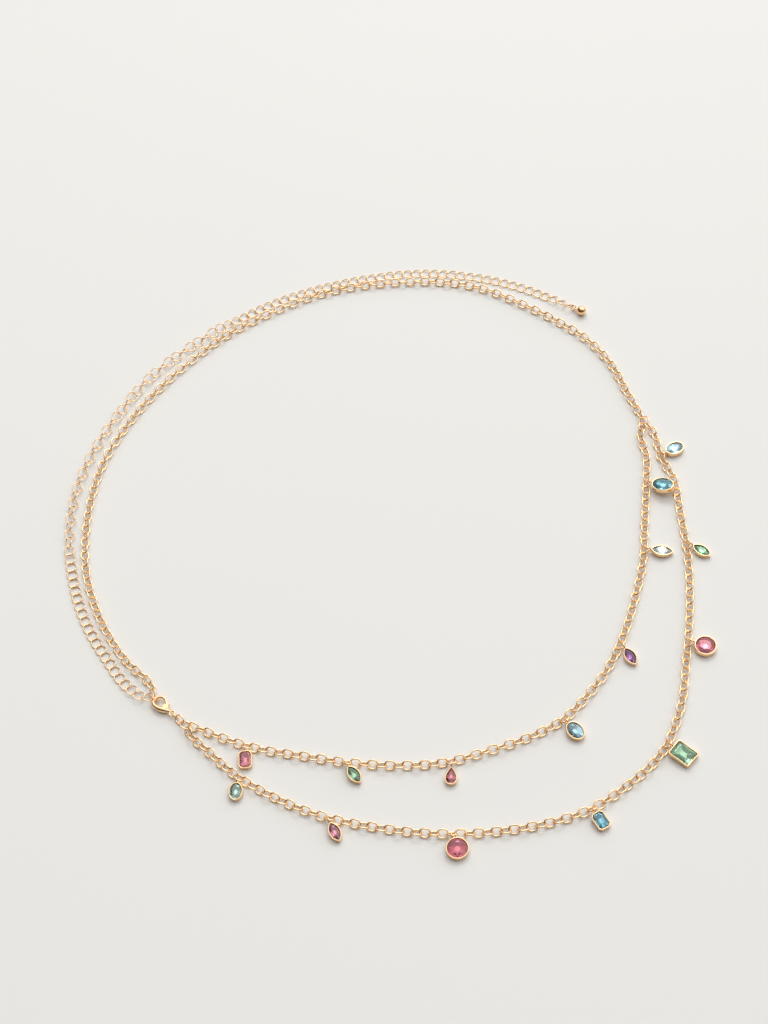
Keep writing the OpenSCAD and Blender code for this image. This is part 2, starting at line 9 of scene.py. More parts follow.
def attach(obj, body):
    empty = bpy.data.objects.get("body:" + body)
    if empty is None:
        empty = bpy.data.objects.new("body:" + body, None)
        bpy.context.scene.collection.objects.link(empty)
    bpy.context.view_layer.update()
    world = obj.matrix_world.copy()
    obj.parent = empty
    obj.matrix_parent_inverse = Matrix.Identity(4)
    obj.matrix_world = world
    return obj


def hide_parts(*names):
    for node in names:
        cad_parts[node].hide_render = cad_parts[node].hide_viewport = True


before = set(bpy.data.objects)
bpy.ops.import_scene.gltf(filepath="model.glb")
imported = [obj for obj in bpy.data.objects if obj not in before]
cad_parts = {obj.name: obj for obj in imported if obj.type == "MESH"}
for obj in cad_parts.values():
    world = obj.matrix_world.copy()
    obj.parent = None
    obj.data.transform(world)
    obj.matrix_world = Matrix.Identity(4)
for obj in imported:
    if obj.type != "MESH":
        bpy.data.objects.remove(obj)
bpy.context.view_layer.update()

MM = 0.001  # sizes below are in millimetres, as in the part's source, and meshes are in metres

# ---- sizes and places, repeated from the part's source ----
LINK_LEN, LINK_W, LINK_WIRE, LINK_PLAY = 4.5, 3.7, 0.6, 0.1
LINK_ROLL, ROLL_SPREAD, ROLL_SWAY, SWAY_TURN = 34.0, 3.0, 8.0, 23.0
RING_ROLL, END_LINKS = 45.0, 4
EXT_LEN, EXT_W, EXT_WIRE = 4.85, 4.2, 0.45
STRAND_RING_D, STRAND_RING_WIRE = 4.9, 0.6
JUMP_RING_D, HOOK_RING_D, END_RING_D, RING_WIRE = 3.3, 3.5, 2.6, 0.5
CLASP_LEN, CLASP_W, CLASP_THICK, PIN_D = 11.5, 6.2, 2.3, 0.7
LOOP_D, LOOP_WIRE, BEZEL_WALL, CUP_BASE = 2.8, 0.55, 0.4, 1.5
CUTS = {
    "oval": (7.0, 5.0), "marquise": (7.0, 3.5), "pear": (6.0, 3.6),
    "round": (7.2, 7.2), "octagon": (6.0, 4.0), "emerald": (8.0, 6.0),
}
INNER = [
    (-81, -68), (-77.2, -69.9), (-70, -74.6), (-57, -82), (-40, -88.5), (-21, -95), (-3, -99.2),
    (12, -100.5), (27, -98.5), (43, -95.5), (56, -90.5), (66, -82.5), (77, -70.5), (85, -57.5),
    (92, -42.5), (98, -27), (102, -10), (106, 7), (109, 22), (109.1, 34), (111.5, 39.4),
]
OUTER = [
    (-81, -68), (-79.7, -72.3), (-74, -80), (-66, -90.5), (-53, -102.5), (-37.5, -113), (-17, -122),
    (5.5, -128.5), (24, -131), (43, -131), (58, -128.5), (73, -121.5), (88, -110.5), (98, -94.5),
    (105, -73), (111, -50.5), (115, -28), (116.5, -6), (117.3, 8), (114.5, 21), (113.8, 34), (111.5, 39.4),
]
BACK = [
    (111.5, 39.4), (108, 54.5), (104, 72), (98, 85), (86, 99.5), (72.5, 112.5), (57.5, 124),
    (40, 131), (22, 134.3), (4, 135.3), (-14, 133.2), (-31.5, 127.8), (-50, 119.5), (-67, 108),
    (-82.5, 94), (-94, 80.5), (-104, 65), (-111, 46), (-114.5, 27), (-115.2, 10), (-112.5, -8),
    (-108, -22.5), (-100, -38.5), (-94.5, -45.5), (-92.3, -50),
]
EXTENDER = [
    (-96, -53), (-102, -46.5), (-109, -33), (-115, -19), (-119, -4), (-121, 13), (-120.8, 30),
    (-117, 50), (-109, 68.5), (-97, 87), (-84, 102.5), (-66.5, 115.5), (-49, 125.5), (-27, 134.2),
    (-7, 138.2), (13, 139.4), (33, 138), (55, 131.6), (73.8, 121.8), (86.7, 112), (94.8, 104.5),
]
SHIFT = np.array([-0.57, -0.95])
CLASP_TURN = 128.0
CLASP_FRONT_SHARE = 0.83
HOOK_RING_LEAD = -0.1
ROUTE_STEPS = 10
TURN_PLAY, EYE_PLAY, HANG_PLAY, STONE_FIT = 0.42, 0.22, 0.17, 0.06
FLOOR_GAP = 0.02
# strand, share along it, swing, cut, scale of the cut, height of the far edge, stone colour
CHARMS = [
    ("inner", 0.078, 22, "octagon", 1.0, 0, "pink"),
    ("inner", 0.211, 44, "marquise", 1.0, 0, "green"),
    ("inner", 0.344, -15, "pear", 1.0, 0, "pink"),
    ("inner", 0.5, -2, "oval", 1.0, 0, "sky"),
    ("inner", 0.633, -40, "marquise", 1.0, 0, "purple"),
    ("inner", 0.789, -2, "marquise", 1.1, 0, "ice"),
    ("inner", 0.9, -20, "oval", 1.15, 3.05, "aqua"),
    ("outer", 0.082, 35, "oval", 0.86, 0, "mint"),
    ("outer", 0.191, 45, "marquise", 1.0, 0, "mauve"),
    ("outer", 0.318, 24, "round", 1.0, 0, "rose"),
    ("outer", 0.464, 4, "octagon", 1.0, 0, "teal"),
    ("outer", 0.573, -12, "emerald", 1.0, 0, "green"),
    ("outer", 0.7, -12, "round", 1.0, 0, "rose"),
    ("outer", 0.827, -40, "marquise", 1.0, 0, "deep_green"),
    ("outer", 0.955, 18, "oval", 1.0, 0, "sky"),
]
INNER_COUNT = 7


def sin(a):
    return math.sin(math.radians(a))


def cos(a):
    return math.cos(math.radians(a))


def along(angle, run):
    return np.array([cos(angle), sin(angle)]) * run


class Track:
    """The smooth line through a route's points, looked up by the length run along it."""

    def __init__(self, points):
        p = np.array(points, float) + SHIFT
        n = len(p)
        chord = np.linalg.norm(np.diff(p, axis=0), axis=1)
        slope = np.zeros_like(p)
        slope[0] = (p[1] - p[0]) / chord[0]
        slope[-1] = (p[-1] - p[-2]) / chord[-1]
        for i in range(1, n - 1):
            a, b = chord[i - 1], chord[i]
            slope[i] = ((p[i] - p[i - 1]) * b / a + (p[i + 1] - p[i]) * a / b) / (a + b)
        line = []
        for i in range(n - 1):
            run = chord[i]
            for k in range(ROUTE_STEPS):
                t = k / ROUTE_STEPS
                line.append(
                    p[i] * (2 * t**3 - 3 * t**2 + 1) + slope[i] * run * (t**3 - 2 * t**2 + t)
                    + p[i + 1] * (3 * t**2 - 2 * t**3) + slope[i + 1] * run * (t**3 - t**2)
                )
        line.append(p[-1])
        self.line = np.array(line)
        self.run = np.r_[0, np.cumsum(np.linalg.norm(np.diff(self.line, axis=0), axis=1))]
        self.len = self.run[-1]

    def at(self, run):
        return np.array([np.interp(run, self.run, self.line[:, axis]) for axis in (0, 1)])

    def heading(self, run, reach=LINK_LEN):
        step = self.at(run + reach / 2) - self.at(run - reach / 2)
        return math.degrees(math.atan2(step[1], step[0]))


def lean_height(lean, width=LINK_W, wire=LINK_WIRE):
    return (width - wire) / 2 * sin(lean) + wire / 2


CHAIN_Z = lean_height(max(RING_ROLL, LINK_ROLL + ROLL_SPREAD + ROLL_SWAY))


def inner_r(d, wire):
    return d / 2 - wire


def ring_to_link(d, wire, play=LINK_PLAY):
    return inner_r(d, wire) + LINK_LEN / 2 - LINK_WIRE - play


EYE_WIRE, EYE_R = CLASP_LEN * 0.055, CLASP_LEN * 0.09
STRAND_RUN = ring_to_link(STRAND_RING_D, STRAND_RING_WIRE, TURN_PLAY)
CLASP_LINK_RUN = ring_to_link(STRAND_RING_D, STRAND_RING_WIRE)
JUMP_RUN = CLASP_LINK_RUN + ring_to_link(JUMP_RING_D, RING_WIRE, EYE_PLAY)
EYE_RUN = JUMP_RUN + inner_r(JUMP_RING_D, RING_WIRE) + (EYE_R - EYE_WIRE / 2) - EYE_PLAY
JOINING_AT = np.array(INNER[0], float) + SHIFT
CLASP_AT = JOINING_AT + along(CLASP_TURN, EYE_RUN)
HOOK_RING_AT = CLASP_AT + along(CLASP_TURN, CLASP_LEN * CLASP_FRONT_SHARE + HOOK_RING_LEAD)

inner_track = Track(INNER)
outer_track = Track(OUTER)
back_track = Track(BACK + [tuple(HOOK_RING_AT - SHIFT)])
extender_track = Track([tuple(HOOK_RING_AT - SHIFT)] + EXTENDER)

STRAND_PITCH = LINK_LEN - 2 * LINK_WIRE - LINK_PLAY


def strand_steps(track):
    return 2 * math.ceil((track.len - 2 * STRAND_RUN) / STRAND_PITCH / 2)


def link_at(track, i):
    return STRAND_RUN + i * (track.len - 2 * STRAND_RUN) / strand_steps(track)


def link_lean(i, last):
    """Leans that alternate, sway along the chain and grow to those of the rings at both ends."""
    share = max(0, 1 - min(i, last - i) / END_LINKS)
    lean = RING_ROLL * share + (LINK_ROLL + ROLL_SPREAD * sin(i * 137)) * (1 - share)
    return (-1 if i % 2 == 0 else 1) * lean + ROLL_SWAY * sin(i * SWAY_TURN) * (1 - share)


# ---- mesh helpers ----
def placed(x, y, z, turn=0.0, lean=0.0, tilt=0.0):
    """The matrix of a translate, a turn about Z and a lean about X or a tilt about Y, in millimetres."""
    return (
        Matrix.Translation((x, y, z)) @ Matrix.Rotation(math.radians(turn), 4, "Z")
        @ Matrix.Rotation(math.radians(tilt), 4, "Y") @ Matrix.Rotation(math.radians(lean), 4, "X")
    )


def moved(points, matrix):
    p = np.asarray(points, float).reshape(-1, 3)
    m = np.array(matrix, float)
    return p @ m[:3, :3].T + m[:3, 3]


def tube_ring(path, radius, sides):
    """Points and quads of a tube of round section along a closed path that lies nearly in the XY plane."""
    path = np.asarray(path, float)
    n = len(path)
    way = np.roll(path, -1, 0) - np.roll(path, 1, 0)
    way /= np.linalg.norm(way, axis=1)[:, None]
    side = np.cross(way, [0, 0, 1.0])
    side /= np.linalg.norm(side, axis=1)[:, None]
    up = np.cross(side, way)
    a = np.linspace(0, 2 * math.pi, sides, endpoint=False)
    points = (
        path[:, None, :] + radius * np.cos(a)[None, :, None] * side[:, None, :]
        + radius * np.sin(a)[None, :, None] * up[:, None, :]
    ).reshape(-1, 3)
    i, k = np.meshgrid(np.arange(n), np.arange(sides), indexing="ij")
    j, m = (i + 1) % n, (k + 1) % sides
    quads = np.stack([i * sides + k, j * sides + k, j * sides + m, i * sides + m], -1).reshape(-1, 4)
    return points, quads


def stadium(length, width, wire, arc_steps):
    """The middle line of a link: two half circles and straight sides."""
    r = (width - wire) / 2
    half = (length - width) / 2
    t = np.linspace(-math.pi / 2, math.pi / 2, arc_steps + 1)
    right = np.stack([half + r * np.cos(t), r * np.sin(t), 0 * t], 1)
    left = np.stack([-half - r * np.cos(t), -r * np.sin(t), 0 * t], 1)
    return np.concatenate([right, left])


def circle(d, wire, steps):
    t = np.linspace(0, 2 * math.pi, steps, endpoint=False)
    r = (d - wire) / 2
    return np.stack([r * np.cos(t), r * np.sin(t), 0 * t], 1)


def mesh_object(name, points, faces, smooth=True):
    """A mesh object from points in millimetres."""
    mesh = bpy.data.meshes.new(name)
    mesh.from_pydata((np.asarray(points, float) * MM).tolist(), [], [list(map(int, f)) for f in faces])
    mesh.polygons.foreach_set("use_smooth", [smooth] * len(mesh.polygons))
    mesh.update()
    obj = bpy.data.objects.new(name, mesh)
    bpy.context.scene.collection.objects.link(obj)
    return obj


def joined(parts):
    points, faces, base = [], [], 0
    for p, f in parts:
        points.append(np.asarray(p, float))
        faces.extend([[int(v) + base for v in face] for face in f])
        base += len(p)
    return np.concatenate(points), faces


def sharp_by_angle(obj, degrees):
    """Smooth shading with creases kept at edges that turn more than the angle."""
    bm = bmesh.new()
    bm.from_mesh(obj.data)
    for e in bm.edges:
        if len(e.link_faces) == 2:
            e.smooth = e.calc_face_angle(0) < math.radians(degrees)
    bm.to_mesh(obj.data)
    bm.free()


def outwards(obj):
    bm = bmesh.new()
    bm.from_mesh(obj.data)
    bmesh.ops.recalc_face_normals(bm, faces=bm.faces)
    bm.to_mesh(obj.data)
    bm.free()


# ---- materials ----
def node_material(name):
    mat = bpy.data.materials.new(name)
    mat.use_nodes = True
    return mat, mat.node_tree, mat.node_tree.nodes["Principled BSDF"]


def noise(tree, scale, detail):
    """Noise that sits still on the object."""
    place = tree.nodes.new("ShaderNodeTexCoord")
    made = tree.nodes.new("ShaderNodeTexNoise")
    made.inputs["Scale"].default_value = scale
    made.inputs["Detail"].default_value = detail
    tree.links.new(place.outputs["Object"], made.inputs["Vector"])
    return made.outputs["Fac"]


def base_colour(tree, shader, cloud, low, high, low_at=0.0, high_at=1.0):
    """A base colour that drifts between two tones with the noise."""
    ramp = tree.nodes.new("ShaderNodeValToRGB")
    for element, position, colour in zip(ramp.color_ramp.elements, (low_at, high_at), (low, high)):
        element.position = position
        element.color = tuple(colour) + (1,)
    tree.links.new(cloud, ramp.inputs["Fac"])
    tree.links.new(ramp.outputs["Color"], shader.inputs["Base Color"])


GOLD_BASE, GOLD_ROUGH = (0.99, 0.685, 0.395), 0.12
GOLD_DARKER, GOLD_LIGHTER = (0.95, 0.91, 0.84), (1.02, 1.04, 1.08)
# scale and detail of the noise in the plate's tone, in the fine marks of its gloss and in its soft bump
GOLD_CLOUDS, GOLD_MARKS, GOLD_WAVES = (260.0, 2.0), (1900.0, 3.0), (900.0, 1.0)
BUMP_STRENGTH, BUMP_HEIGHT = 0.12, 0.00006


def gold_material(name):
    """Polished plate: slight changes of tone, fine drawn marks in the gloss and a soft hand-finished bump."""
    mat, tree, shader = node_material(name)
    shader.inputs["Metallic"].default_value = 1.0
    shader.inputs["IOR"].default_value = 1.5
    darker = [c * k for c, k in zip(GOLD_BASE, GOLD_DARKER)]
    lighter = [min(1, c * k) for c, k in zip(GOLD_BASE, GOLD_LIGHTER)]
    base_colour(tree, shader, noise(tree, *GOLD_CLOUDS), darker, lighter, 0.3, 0.72)
    gloss = tree.nodes.new("ShaderNodeMapRange")
    gloss.inputs["From Min"].default_value = 0.3
    gloss.inputs["From Max"].default_value = 0.7
    gloss.inputs["To Min"].default_value = GOLD_ROUGH * 0.75
    gloss.inputs["To Max"].default_value = GOLD_ROUGH * 1.35
    tree.links.new(noise(tree, *GOLD_MARKS), gloss.inputs["Value"])
    tree.links.new(gloss.outputs["Result"], shader.inputs["Roughness"])
    bump = tree.nodes.new("ShaderNodeBump")
    bump.inputs["Strength"].default_value = BUMP_STRENGTH
    bump.inputs["Distance"].default_value = BUMP_HEIGHT
    tree.links.new(noise(tree, *GOLD_WAVES), bump.inputs["Height"])
    tree.links.new(bump.outputs["Normal"], shader.inputs["Normal"])
    return mat


STONES = {
    "pink": (0.94, 0.36, 0.42),
    "green": (0.46, 0.78, 0.50),
    "sky": (0.56, 0.84, 0.94),
    "purple": (0.50, 0.24, 0.54),
    "ice": (0.88, 0.97, 0.95),
    "aqua": (0.30, 0.72, 0.83),
    "mint": (0.66, 0.92, 0.82),
    "mauve": (0.90, 0.38, 0.48),
    "rose": (0.90, 0.24, 0.31),
    "teal": (0.28, 0.66, 0.80),
    "deep_green": (0.28, 0.62, 0.36),
}
STONE_ROUGH, STONE_IOR, STONE_CLEAR, STONE_SHEEN = 0.03, 1.55, 0.92, 0.12
# powers of the stone's colour where its clouds are deeper and paler
STONE_DEEPER, STONE_PALER = 1.15, 0.88
STONE_CLOUDS = (320.0, 2.0)
FOIL_COLOUR, FOIL_DARKER, FOIL_ROUGH = (0.93, 0.93, 0.93), 0.78, 0.08
FOIL_GRAIN = (1500.0, 2.0)


def stone_material(name, colour):
    """Clear coloured crystal: slight clouds in its colour, and a glass-like gloss."""
    mat, tree, shader = node_material(name)
    shader.inputs["Roughness"].default_value = STONE_ROUGH
    shader.inputs["IOR"].default_value = STONE_IOR
    shader.inputs["Transmission Weight"].default_value = STONE_CLEAR
    shader.inputs["Metallic"].default_value = STONE_SHEEN
    deeper, paler = [c**STONE_DEEPER for c in colour], [c**STONE_PALER for c in colour]
    base_colour(tree, shader, noise(tree, *STONE_CLOUDS), deeper, paler, 0.3, 0.7)
    return mat


def foil_material(name):
    """The mirror foil behind a crystal, seen through it."""
    mat, tree, shader = node_material(name)
    shader.inputs["Metallic"].default_value = 1.0
    shader.inputs["Roughness"].default_value = FOIL_ROUGH
    base_colour(tree, shader, noise(tree, *FOIL_GRAIN), [FOIL_DARKER * c for c in FOIL_COLOUR], FOIL_COLOUR)
    return mat


gold = gold_material("gold_plate")
stone_mats = {k: stone_material("crystal_" + k, c) for k, c in STONES.items()}
foil = foil_material("foil")

# ---- materials of the CAD nodes ----
for node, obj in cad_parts.items():
    obj.data.materials.clear()
    if "stone" in node:
        i = int(node[-1]) - 1 + (INNER_COUNT if node.startswith("outer") else 0)
        obj.data.materials.append(stone_mats[CHARMS[i][6]])
    else:
        obj.data.materials.append(gold)


# ---- the back chain and the extender as interlocking links ----
# x, y, z, turn, tilt and lean of the two links that share the hook ring, and their finer wire
BACK_LAST_LINK, BACK_LAST_WIRE = (-93.048, -52.867, 1.422, -79.5, -3.9, 41.8), 0.5
EXT_FIRST_LINK, EXT_FIRST_WIRE = (-94.862, -54.536, 1.913, 164.9, 7.9, 18.5), 0.4
HOOK_RING_PLAY, END_RING_PLAY = 0.2, 0.1
BACK_ARC_STEPS, EXT_ARC_STEPS, WIRE_SIDES = 16, 18, 12


def placed_link(path, pose):
    x, y, z, turn, tilt, lean = pose
    return moved(path, placed(x, y, z, turn, lean, tilt))


def back_links():
    """Links like those of the strands, from the junction ring to the hook ring."""
    start = STRAND_RUN
    stop = back_track.len - ring_to_link(HOOK_RING_D, RING_WIRE, HOOK_RING_PLAY)
    last = 2 * round((stop - start) / STRAND_PITCH / 2)
    path = stadium(LINK_LEN, LINK_W, LINK_WIRE, BACK_ARC_STEPS)
    out = []
    for i in range(last):
        run = start + (stop - start) * i / last
        x, y = back_track.at(run)
        set_down = placed(x, y, CHAIN_Z, back_track.heading(run), -link_lean(i, last))
        out.append((moved(path, set_down), LINK_WIRE))
    return out + [(placed_link(path, BACK_LAST_LINK), BACK_LAST_WIRE)]


# the extender's links: rise of their twist, height of a flat one, play and stray lean in degrees
EXT_TWIST, EXT_Z, EXT_PLAY, EXT_STRAY = 0.34, 0.63, 0.1, 1.6
# lean of the links next to the rings at both ends and their share of the rise to the rings
EXT_START = [(0, 1.0), (14, 0.9), (0, 0.7)]
EXT_STOP = [(-42, 1.3), (-28, 0.85), (-12, 0.4)]
# most that a link of the extender lies lower than the next one
EXT_CLIMB = 0.35
# stretch in which every other link is turned on its side, and further along every third one, and their
# leans and heights
TURNED_FROM, TURNED_MIDDLE, TURNED_TO = 86.0, 146.0, 210.0
TURNED_PAIR = [(-43, 1.62), (28, 1.62)]
TURNED_THREE = [(-44, 1.64), (27, 1.64), (21, 1.64)]


def extender_leans(last, start, pitch):
    """Lean and height of each link of the extender; a turned stretch begins with a turned link."""
    poses = []
    turned = three = 0
    for i in range(last + 1):
        run = start + pitch * i
        if TURNED_FROM < run < TURNED_MIDDLE or turned % 2:
            poses.append(TURNED_PAIR[turned % 2])
            turned += 1
        elif TURNED_MIDDLE <= run < TURNED_TO or three % 3:
            poses.append(TURNED_THREE[three % 3])
            three += 1
        else:
            poses.append((EXT_STRAY * sin(i * 97), EXT_Z))
    for i in range(len(EXT_START)):
        poses[i] = (EXT_START[i][0], EXT_Z + (CHAIN_Z - EXT_Z) * EXT_START[i][1])
        poses[last - i] = (EXT_STOP[i][0], EXT_Z + (CHAIN_Z - EXT_Z) * EXT_STOP[i][1])
    for i in range(1, last + 1):
        poses[i] = (poses[i][0], max(poses[i][1], poses[i - 1][1] - EXT_CLIMB))
    for i in reversed(range(last)):
        poses[i] = (poses[i][0], max(poses[i][1], poses[i + 1][1] - EXT_CLIMB))
    return poses


def extender_links():
    """Twisted links that lie flat and overlap; the first and last ones turn and rise to the rings."""
    half_link = EXT_LEN / 2 - EXT_WIRE
    start = inner_r(HOOK_RING_D, RING_WIRE) + half_link - HOOK_RING_PLAY
    stop = extender_track.len - (inner_r(END_RING_D, RING_WIRE) + half_link - END_RING_PLAY)
    last = round((stop - start) / (EXT_LEN - 2 * EXT_WIRE - EXT_PLAY))
    pitch = (stop - start) / last
    flat = stadium(EXT_LEN, EXT_W, EXT_WIRE, EXT_ARC_STEPS)
    across = flat[:, 0] * flat[:, 1] / ((EXT_LEN - EXT_WIRE) * (EXT_W - EXT_WIRE) / 4)
    path = flat + np.outer(2 * EXT_TWIST * across, [0, 0, 1])
    poses = extender_leans(last, start, pitch)
    out = [(placed_link(path, EXT_FIRST_LINK), EXT_FIRST_WIRE)]
    for i in range(1, last + 1):
        run = start + pitch * i
        x, y = extender_track.at(run)
        lean, z = poses[i]
        slope = poses[i + 1][1] - poses[i - 1][1] if i < last else 0
        tilt = -math.degrees(math.atan(slope / 2 / pitch))
        link = moved(path, placed(x, y, z, extender_track.heading(run, EXT_LEN), lean, tilt))
        link[:, 2] += max(0, EXT_WIRE / 2 - link[:, 2].min())
        out.append((link, EXT_WIRE))
    return out


def chain_object(name, node, links):
    obj = mesh_object(name, *joined([tube_ring(path, wire / 2, WIRE_SIDES) for path, wire in links]))
    obj.data.materials.append(gold)
    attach(obj, "chain")
    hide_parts(node)
    return obj


chain_object("back_links", "back_chain", back_links())
chain_object("extender_links", "extender_chain", extender_links())


# ---- settings and stones, in the form of their solids with finer rims and facets ----
RIM_ABOVE_GIRDLE, GIRDLE_H, CUP_FLOOR, CUP_EDGE, CUP_LIP = 0.32, 0.12, 0.35, 0.16, 0.12
CROWN_BASE, CROWN_SHARE, CUP_SHARE = 0.25, 0.05, 0.07
TABLE_SHARE, BELLY_SHARE, CULET_SHARE = 0.6, 0.75, 0.3
OCTAGON_CORNER = {"octagon": 0.2, "emerald": 0.07}
CORNER_R, CORNER_STEPS, CUP_SIDES = 0.1, 4, 96
LOOP_SOLDER, HANG_TURN, LOOP_STEPS, LOOP_SIDES = 0.28, 75.0, 56, 18
CUP_CREASE = 32
# girdle points and main facets of a brilliant, and share of the outline and of the height of its lower and
# star facets' points
GIRDLE_POINTS, MAINS = 32, 8
LOWER_SHARE, LOWER_RISE, STAR_SHARE, STAR_RISE = 0.66, 0.48, 0.82, 0.52
# share of the outline and of the height of the facet rows of a step cut, below and above the girdle
STEPS_BELOW, STEPS_ABOVE = [(0.6, 0.34), (0.83, 0.68)], [(0.9, 0.48), (0.77, 0.8)]
LOOP_R = (LOOP_D - LOOP_WIRE) / 2
HANG = LOOP_R - LOOP_WIRE / 2 - LINK_WIRE / 2 - HANG_PLAY


def cup_h(w):
    return CUP_BASE + CUP_SHARE * w


def fillet(corners, r, steps):
    """A closed outline with each corner rounded."""
    corners = np.asarray(corners, float)
    out = []
    n = len(corners)
    for i in range(n):
        p, a, b = corners[i], corners[i - 1] - corners[i], corners[(i + 1) % n] - corners[i]
        a, b = a / np.linalg.norm(a), b / np.linalg.norm(b)
        half = math.acos(np.clip(a @ b, -1, 1)) / 2
        middle = (a + b) / np.linalg.norm(a + b)
        centre = p + middle * r / math.sin(half)
        start, stop = p + a * r / math.tan(half) - centre, p + b * r / math.tan(half) - centre
        t0, t1 = math.atan2(start[1], start[0]), math.atan2(stop[1], stop[0])
        turn = (t1 - t0 + math.pi) % (2 * math.pi) - math.pi
        for k in range(steps + 1):
            t = t0 + turn * k / steps
            out.append(centre + r * np.array([math.cos(t), math.sin(t)]))
    return np.array(out)


def octagon(l, w, corner):
    x, y, c = l / 2, w / 2, w * corner
    upper = [[x, y - c], [x - c, y], [c - x, y], [-x, y - c]]
    lower = [[-x, c - y], [c - x, -y], [x - c, -y], [x, c - y]]
    return np.array(upper + lower)


def outline(cut, l, w, n):
    if cut in OCTAGON_CORNER:
        return octagon(l, w, OCTAGON_CORNER[cut])
    if cut == "marquise":
        r = (l**2 + w**2) / (4 * w)
        half = math.degrees(math.asin(l / 2 / r))
        out = []
        for way in (1, -1):
            for k in range(n // 2):
                a = half * (1 - 4 * k / n)
                out.append([way * r * sin(a), way * (r * cos(a) - r + w / 2)])
        return np.array(out)
    if cut == "pear":
        a = [180 + k * 360 / n for k in range(n)]
        return np.array([[-l / 2 * cos(t), -w / 2 * sin(t) * abs(sin(t / 2)) / 0.77] for t in a])
    return np.array([[l / 2 * cos(k * 360 / n), w / 2 * sin(k * 360 / n)] for k in range(n)])


def lofted(rings):
    """Points and faces of a solid through rings of as many points each, from the outside bottom upwards."""
    n, last = len(rings[0]), (len(rings) - 1) * len(rings[0])
    faces = [list(range(n))[::-1]]
    for j in range(len(rings) - 1):
        for k in range(n):
            a, b = j * n + k, j * n + (k + 1) % n
            faces.append([a, b, b + n, a + n])
    faces.append([last + k for k in range(n)])
    return np.concatenate(rings), faces


def raised(flat, z):
    return np.c_[flat, np.full(len(flat), z)]


def charm_matrix(i):
    strand, share, swing, cut, scale, rest, _ = CHARMS[i]
    track = inner_track if strand == "inner" else outer_track
    l, w = CUTS[cut][0] * scale, CUTS[cut][1] * scale
    index = 2 * math.floor((share * strand_steps(track) - 1) / 2 + 0.5) + 1
    run, lean = link_at(track, index), link_lean(index, strand_steps(track))
    side = track.heading(run) - 90
    out = (LINK_W - LINK_WIRE) / 2
    turn = side + swing
    wire_at = track.at(run) + along(side, out * cos(lean))
    wire_z = CHAIN_Z + out * sin(lean)
    loop_at = wire_at + along(turn, HANG * cos(HANG_TURN))
    loop_z = wire_z - HANG * sin(HANG_TURN)
    far = LOOP_D / 2 - LOOP_SOLDER + l + 2 * (BEZEL_WALL + STONE_FIT)
    half = cup_h(w) / 2
    drop = loop_z - rest - FLOOR_GAP
    tilt = math.degrees(math.asin(drop / math.hypot(far, half)) - math.atan2(half, far))
    return placed(loop_at[0], loop_at[1], loop_z, turn, 0, tilt), l, w, cut


def at_cup(l):
    return Matrix.Translation((LOOP_D / 2 - LOOP_SOLDER + l / 2 + BEZEL_WALL + STONE_FIT, 0, 0))


def arc_profile(cx, cz, r, a0, a1, steps):
    """Offsets inwards and heights on an arc of an edge."""
    angles = [a0 + (a1 - a0) * k / steps for k in range(steps + 1)]
    return [(cx + r * cos(a), cz + r * sin(a)) for a in angles]


def cup_mesh(cut, l, w):
    h = cup_h(w)
    full_l, full_w = l + 2 * (BEZEL_WALL + STONE_FIT), w + 2 * (BEZEL_WALL + STONE_FIT)
    low_z, floor_z = h / 2 - RIM_ABOVE_GIRDLE - GIRDLE_H, CUP_FLOOR - h / 2
    belly_z = (floor_z + STONE_FIT + low_z) / 2
    edge, lip = CUP_EDGE, CUP_LIP
    profile = (
        arc_profile(edge, -h / 2 + edge, edge, 270, 180, 5)
        + arc_profile(edge, h / 2 - edge, edge, 180, 90, 5)
        + arc_profile(BEZEL_WALL - lip, h / 2 - lip, lip, 90, 0, 4)
        + [(BEZEL_WALL, low_z - STONE_FIT)]
    )

    def ring(ring_l, ring_w, z):
        flat = outline(cut, ring_l, ring_w, CUP_SIDES)
        if cut in OCTAGON_CORNER:
            flat = fillet(flat, CORNER_R, CORNER_STEPS)
        return raised(flat, z)

    rings = [ring(full_l - 2 * p, full_w - 2 * p, z) for p, z in profile]
    for share, z in ((BELLY_SHARE, belly_z - STONE_FIT), (CULET_SHARE, floor_z)):
        rings.append(ring(l * share + 2 * STONE_FIT, w * share + 2 * STONE_FIT, z))
    return lofted(rings)


def brilliant_mesh(cut, l, w, back_z, low_z, high_z, top_z):
    """Table, stars, kites and girdle facets over a pavilion of mains and lower facets."""
    n, m = GIRDLE_POINTS, MAINS
    fan = n // m
    edge = outline(cut, l, w, n)
    main, mid = [i * fan for i in range(m)], [i * fan + fan // 2 for i in range(m)]
    layers = [
        raised(edge[main] * CULET_SHARE, back_z),
        raised(edge[mid] * LOWER_SHARE, back_z + (low_z - back_z) * LOWER_RISE),
        raised(edge, low_z),
        raised(edge, high_z),
        raised(edge[mid] * STAR_SHARE, high_z + (top_z - high_z) * STAR_RISE),
        raised(edge[main] * TABLE_SHARE, top_z),
    ]
    start = np.cumsum([0] + [len(x) for x in layers])
    culet, lower, low, high, star, table = start[:6]
    pavilion, crown = [[culet + i for i in range(m)][::-1]], []
    for i in range(m):
        j, before = (i + 1) % m, (i - 1) % m
        pavilion += [
            [culet + i, lower + i, low + main[i], lower + before],
            [culet + i, culet + j, lower + i],
        ]
        crown += [
            [table + i, star + before, high + main[i], star + i],
            [table + i, star + i, table + j],
        ]
        for k in range(main[i], main[i] + fan):
            pavilion.append([lower + i, low + (k + 1) % n, low + k])
            crown.append([star + i, high + k, high + (k + 1) % n])
    girdle = [[low + k, low + (k + 1) % n, high + (k + 1) % n, high + k] for k in range(n)]
    crown.append([table + i for i in range(m)])
    return np.concatenate(layers), pavilion, girdle + crown


